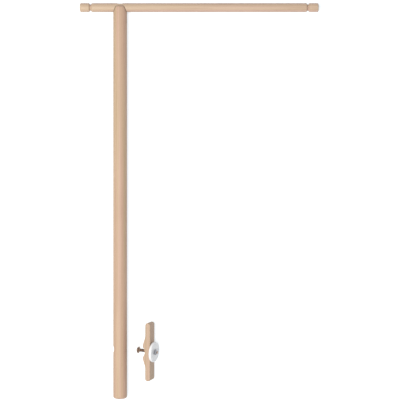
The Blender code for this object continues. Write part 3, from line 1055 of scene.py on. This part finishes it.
# %% [markdown]
# The block's groove is as wide as the post, so that it grips it. It could be an
# arc in the block's outline, but a round cutter keeps it exactly as round as
# the post. The two long lips that the cut leaves are bevelled a little, and a
# loose hole takes the bolt.

# %% Cut the block's groove and hole, and finish it
BLOCK_HOLE_RADIUS = 3.0 * MM
LIP_SLACK = 0.03 * MM
FACE_SLACK = 0.05 * MM
groove_centre = HOLE_MIDDLE - BLOCK_MIDDLE + GROOVE_SINK - GRIP_RADIUS
STAND_UP = Matrix.Rotation(math.radians(-90.0), 4, "Y")

groove_place = Matrix.Translation((groove_centre, 0.0, 0.0)) @ STAND_UP
block = carve(
    block, drill(-BLOCK_WIDTH, BLOCK_WIDTH, GRIP_RADIUS, groove_place, GRIP_SIDES)
)


def on_groove_lip(edge):
    """True for the two long edges where the groove meets the pads."""
    return all(
        abs(math.hypot(v.co.x - groove_centre, v.co.y) - GRIP_RADIUS) < LIP_SLACK
        and v.co.x < HOLE_MIDDLE - BLOCK_MIDDLE + FACE_SLACK
        for v in edge.verts
    )


lips = [edge for edge in block.edges if on_groove_lip(edge)]
bevel(block, lips, SOFT_LIP, segments=3)
hole = drill(-BLOCK_MIDDLE, BLOCK_MIDDLE, BLOCK_HOLE_RADIUS, sides=FINE_SIDES)
block = carve(block, hole)
block_beech = beech(
    "beech_block_finish",
    BLOCK @ ACROSS,
    pith=(0.040, 0.055),
    ring_width=2.8 * MM,
    warmth=0.60,
    cast=(1.04, 1.07, 1.18),
)
finish_piece(
    placed(block, BLOCK),
    "block_wood",
    "clamp_block",
    "block",
    block_beech,
)

# %% [markdown]
# The bolt is a cup-head bolt. Its head is a shallow dome, whose radius follows
# from its width and height. A flattened sphere would need its lower half cut
# off, so the dome is drawn as an arc in the head's outline and turned, together
# with a thin rim and the plain neck under it.

# %% Turn the bolt's head
BOLT_RADIUS = 2.4 * MM
BOLT_LENGTH = 33.0 * MM
BOLT_TIP = 9.3 * MM
HEAD_RADIUS = 5.4 * MM
HEAD_HEIGHT = 3.3 * MM
HEAD_RIM = 0.6 * MM
HEAD_RIM_ROUND = 0.15 * MM
NECK_LENGTH = 2.6 * MM
NECK_RUNOUT = 0.4 * MM
NECK_RUNOUT_RADIUS = 1.9 * MM
DOME_STEPS = 16

under_head = BOLT_TIP - BOLT_LENGTH
neck_end = under_head + NECK_LENGTH
crown = under_head - HEAD_HEIGHT
cap_height = HEAD_HEIGHT - HEAD_RIM
dome_radius = (HEAD_RADIUS**2 + cap_height**2) / (2 * cap_height)
dome_swing = math.asin(HEAD_RADIUS / dome_radius)
dome = []
for step in range(DOME_STEPS + 1):
    swing = dome_swing * step / DOME_STEPS
    along = crown + dome_radius * (1 - math.cos(swing))
    dome.append((along, dome_radius * math.sin(swing)))
bolt_head = lathe(
    dome
    + [
        (under_head, HEAD_RADIUS),
        (under_head, BOLT_RADIUS),
        (neck_end, BOLT_RADIUS),
        (neck_end + NECK_RUNOUT, NECK_RUNOUT_RADIUS),
        (neck_end + NECK_RUNOUT, 0.0),
    ],
    FINE_SIDES,
)
head_rim = ring(bolt_head, under_head, HEAD_RADIUS)
bevel(bolt_head, head_rim, HEAD_RIM_ROUND, segments=3)
print(f"the dome's radius is {dome_radius / MM:.1f} mm")

# %% [markdown]
# The shank is a real thread with the usual pitch for its size. The same helper
# as for the screw makes it, and a blank with a small chamfer trims it, because
# a bolt's first turn is always cut back so that the nut can find it.

# %% Cut the bolt's thread and finish it
BOLT_PITCH = 0.8 * MM
BOLT_ROOT = 1.93 * MM
TIP_CHAMFER = 0.5 * MM
SUNK_CREST = 0.005 * MM  # keeps the crest off the blank's wall

bolt_blank = lathe(
    [
        (neck_end, 0.0),
        (neck_end, BOLT_RADIUS),
        (BOLT_TIP - TIP_CHAMFER, BOLT_RADIUS),
        (BOLT_TIP, BOLT_RADIUS - TIP_CHAMFER),
        (BOLT_TIP, 0.0),
    ],
    FINE_SIDES,
)
bolt_helix = threaded(
    neck_end, BOLT_TIP, BOLT_ROOT, BOLT_RADIUS - SUNK_CREST, BOLT_PITCH
)
bolt = carve(bolt_head, carve(bolt_helix, bolt_blank, "INTERSECT"), "UNION")
finish_piece(
    placed(bolt, CLAMP),
    "bolt_with_thread",
    "clamp_bolt",
    "bolt",
    bronze,
)

# %% [markdown]
# The knob is a thick disc of white moulded plastic with well rounded rims. A
# Bevel modifier would round its bore as well, so only the two outer rims are
# bevelled. It sits against the leaning block, which pushes it a little further
# out along the bolt than the gap alone.

# %% Mould the knob
KNOB_RADIUS = 16.2 * MM
KNOB_THICKNESS = 4.4 * MM
KNOB_ROUND = 1.5 * MM
BORE = 2.7 * MM
flat_radius = KNOB_RADIUS - KNOB_ROUND
KNOB_BACK = (
    SEAT_GAP + KNOB_ROUND + flat_radius * math.sin(BLOCK_LEAN)
) / math.cos(BLOCK_LEAN) - KNOB_ROUND
KNOB = CLAMP @ Matrix.Translation((KNOB_BACK, 0.0, 0.0))

knob = lathe(
    [
        (0.0, BORE),
        (0.0, KNOB_RADIUS),
        (KNOB_THICKNESS, KNOB_RADIUS),
        (KNOB_THICKNESS, BORE),
    ],
    GRIP_SIDES,
)
for face in (0.0, KNOB_THICKNESS):
    bevel(knob, ring(knob, face, KNOB_RADIUS), KNOB_ROUND, segments=10)
print(f"the knob's back lies {KNOB_BACK / MM:.2f} mm past the block's middle face")

# %% [markdown]
# A hexagonal pocket in the knob's face holds the nut, so turning the knob runs
# the nut along the bolt. A cone primitive with six sides and equal radii is a
# hexagonal prism, and the nut below uses the same one, so the two can't differ
# by more than the gap. Moulded edges are never sharp, so the lip is softened.

# %% Sink the nut's pocket
NUT_FLATS = 8.0 * MM
NUT_THICKNESS = 4.7 * MM
NUT_SUNK_BY = 1.2 * MM
POCKET_LIP_ROUND = 0.18 * MM
LIP_WITHIN = 6.0 * MM
ON_A_WALL = 0.1  # a wall's normal hardly points along the bolt
pocket_floor = KNOB_THICKNESS - NUT_SUNK_BY - SEAT_GAP


def hexagon(across_flats, start, end):
    """A hexagonal prism along X."""
    prism = bmesh.new()
    corner = across_flats / math.sqrt(3)
    bmesh.ops.create_cone(
        prism,
        cap_ends=True,
        segments=6,
        radius1=corner,
        radius2=corner,
        depth=end - start,
    )
    along_x = Matrix.Rotation(math.radians(90.0), 4, "Y")
    corner_up = Matrix.Rotation(math.radians(30.0), 4, "Z")
    middle = Matrix.Translation(((start + end) / 2, 0.0, 0.0))
    return placed(prism, middle @ along_x @ corner_up)


def on_pocket_lip(edge):
    """True for the edges where the pocket's walls meet the knob's face."""
    at_face = all(
        abs(v.co.x - KNOB_THICKNESS) < RING_SLACK
        and math.hypot(v.co.y, v.co.z) < LIP_WITHIN
        for v in edge.verts
    )
    return at_face and any(abs(face.normal.x) < ON_A_WALL for face in edge.link_faces)


pocket = hexagon(NUT_FLATS + 2 * SEAT_GAP, pocket_floor, KNOB_THICKNESS + OVERCUT)
knob = carve(knob, pocket)
lip = [edge for edge in knob.edges if on_pocket_lip(edge)]
bevel(knob, lip, POCKET_LIP_ROUND, segments=3)
print(f"the pocket's lip has {len(lip)} edges")

# %% [markdown]
# Moulded plastic is never quite flat: it has a faint orange-peel, and slightly
# uneven colour where it cooled. One slow noise texture shifts the colour and
# the shine together, and one finer noise goes to a Bump node. Modelling so fine
# a relief would cost many faces and look the same.

# %% Finish the knob in white plastic
COOL_WHITE = (0.665, 0.670, 0.690)
SOFT_WHITE = (0.715, 0.715, 0.720)
MOTTLE_SCALE = 160.0
PEEL_SCALE = 1400.0
PEEL_RELIEF = 0.04 * MM
MOTTLE_ROUGHNESS = 0.14
GLOSSY = 0.26


def moulded_plastic(name):
    """White plastic with the faint orange-peel of a moulded face."""
    material, tree, shader = new_material(name)
    at = add_node(tree, "ShaderNodeTexCoord").outputs["Object"]
    mottle = add_node(
        tree, "ShaderNodeTexNoise", Vector=at, Scale=MOTTLE_SCALE, Detail=4.0
    ).outputs["Fac"]
    peel = add_node(
        tree, "ShaderNodeTexNoise", Vector=at, Scale=PEEL_SCALE, Detail=2.0
    ).outputs["Fac"]
    tint = ramp(tree, mottle, [(0.3, COOL_WHITE), (0.7, SOFT_WHITE)])
    tree.links.new(tint, shader.inputs["Base Color"])
    rough = calculate(tree, "MULTIPLY", mottle, MOTTLE_ROUGHNESS)
    rough = calculate(tree, "ADD", rough, GLOSSY)
    tree.links.new(rough, shader.inputs["Roughness"])
    bump = add_node(
        tree, "ShaderNodeBump", Strength=0.22, Distance=PEEL_RELIEF, Height=peel
    )
    tree.links.new(bump.outputs["Normal"], shader.inputs["Normal"])
    return material


plastic = moulded_plastic("white_plastic_finish")
finish_piece(
    placed(knob, KNOB), "knob_disc", "clamp_knob", "knob", plastic
)

# %% [markdown]
# The nut is a six-sided prism whose corners are turned off at both faces, the
# way a real nut's are. Bevelling the corners would cut them flat. Keeping what
# the prism and a turned blank have in common gives the true curved chamfers.

# %% Make the nut
NUT_CHAMFER = 0.45 * MM
NUT_CHAMFER_ANGLE = math.radians(30.0)
BORE_EDGE = 0.25 * MM
nut_start = KNOB_THICKNESS - NUT_SUNK_BY
nut_end = nut_start + NUT_THICKNESS
corner = NUT_FLATS / math.sqrt(3)
slope = NUT_CHAMFER * math.tan(NUT_CHAMFER_ANGLE)

nut_blank = lathe(
    [
        (nut_start, BORE + BORE_EDGE),
        (nut_start, corner - NUT_CHAMFER),
        (nut_start + slope, corner),
        (nut_start + slope, corner + SEAT_GAP),
        (nut_end - slope, corner + SEAT_GAP),
        (nut_end - slope, corner),
        (nut_end, corner - NUT_CHAMFER),
        (nut_end, BORE + BORE_EDGE),
        (nut_end - BORE_EDGE, BORE),
        (nut_start + BORE_EDGE, BORE),
    ],
    FINE_SIDES,
)
nut = carve(hexagon(NUT_FLATS, nut_start, nut_end), nut_blank, "INTERSECT")
finish_piece(
    placed(nut, KNOB), "nut_in_knob", "knob_nut", "knob", zinc
)

# %% [markdown]
# Small products are often shown on a light table, a sheet of white acrylic lit
# from below, because its glow takes the shadows away. A plain white floor under
# a very strong lamp would also turn white, but its light would eat into the
# rods' outlines. So the table is a mid grey that glows, with a cool cast for
# the undersides, and the paper-white comes from both together.

# %% Lay the table
TABLE_HALF = 20.0
TABLE_DROP = 0.1 * MM  # keeps the table from touching the pieces' lowest points
TABLE_GREY = 0.45
TABLE_GLOW = 0.68
COOL_GLOW = (0.90, 0.96, 1.0)

table_mesh = bmesh.new()
bmesh.ops.create_grid(table_mesh, x_segments=1, y_segments=1, size=TABLE_HALF)
bmesh.ops.translate(table_mesh, vec=(0.0, 0.0, -TABLE_DROP), verts=table_mesh.verts)
table = as_object(table_mesh, "table_top")
table_white, _, table_shader = new_material("table_white")
table_shader.inputs["Base Color"].default_value = (*grey(TABLE_GREY), 1.0)
table_shader.inputs["Roughness"].default_value = 0.9
table_shader.inputs["Specular IOR Level"].default_value = 0.1
table_shader.inputs["Emission Color"].default_value = (*COOL_GLOW, 1.0)
table_shader.inputs["Emission Strength"].default_value = TABLE_GLOW
table.data.materials.append(table_white)

# %% [markdown]
# One big soft lamp hangs high up and a little to the left, and an even white
# room fills the rest. Several small lamps could model the rods more strongly,
# but plain round wood looks best with one soft highlight down its length. The
# lamp is slightly warm and the room slightly cool, so the light has a side.

# %% Hang the lamp and light the room
LAMP_PLACE = (-0.72, -0.30, 2.26)
LAMP_SIZE = 1.6
LAMP_POWER = 70.0
LAMP_WARMTH = (1.0, 0.975, 0.94)
ROOM_CAST = (0.96, 0.98, 1.0)
ROOM_LIGHT = 0.45

lamp = bpy.data.lights.new("key_lamp", "AREA")
lamp.shape = "DISK"
lamp.size = LAMP_SIZE
lamp.energy = LAMP_POWER
lamp.color = LAMP_WARMTH
lamp_object = bpy.data.objects.new("key_lamp", lamp)
bpy.context.scene.collection.objects.link(lamp_object)
lamp_object.location = LAMP_PLACE
towards_table = -Vector(LAMP_PLACE)
lamp_object.rotation_euler = towards_table.to_track_quat("-Z", "Y").to_euler()

room = bpy.data.worlds.new("white_room")
bpy.context.scene.world = room
room.use_nodes = True
background = room.node_tree.nodes["Background"]
background.inputs["Color"].default_value = (*ROOM_CAST, 1.0)
background.inputs["Strength"].default_value = ROOM_LIGHT
bpy.context.scene.view_settings.view_transform = "Standard"
print(f"the lamp hangs {LAMP_PLACE[2]:.2f} m up")

# %% [markdown]
# The camera looks straight down. An orthographic camera would keep the two rods
# parallel, but it would lose the little perspective that a real lens has, so a
# long lens far away is used. Its length is worked out from the camera's height
# and the width that has to show, at the height of the post's axis.

# %% Put the camera above
CAMERA_HEIGHT = 1.70
SHOWN_WIDTH = 0.6376
SENSOR = 36.0
OFF_CENTRE = (1.3 * MM, 1.1 * MM)

camera_data = bpy.data.cameras.new("camera_above")
camera_data.sensor_width = SENSOR
camera_data.lens = SENSOR * CAMERA_HEIGHT / SHOWN_WIDTH
camera = bpy.data.objects.new("camera_above", camera_data)
bpy.context.scene.collection.objects.link(camera)
camera.location = (*OFF_CENTRE, AXIS_HEIGHT + CAMERA_HEIGHT)
bpy.context.scene.camera = camera
print(f"lens {camera_data.lens:.1f} mm")
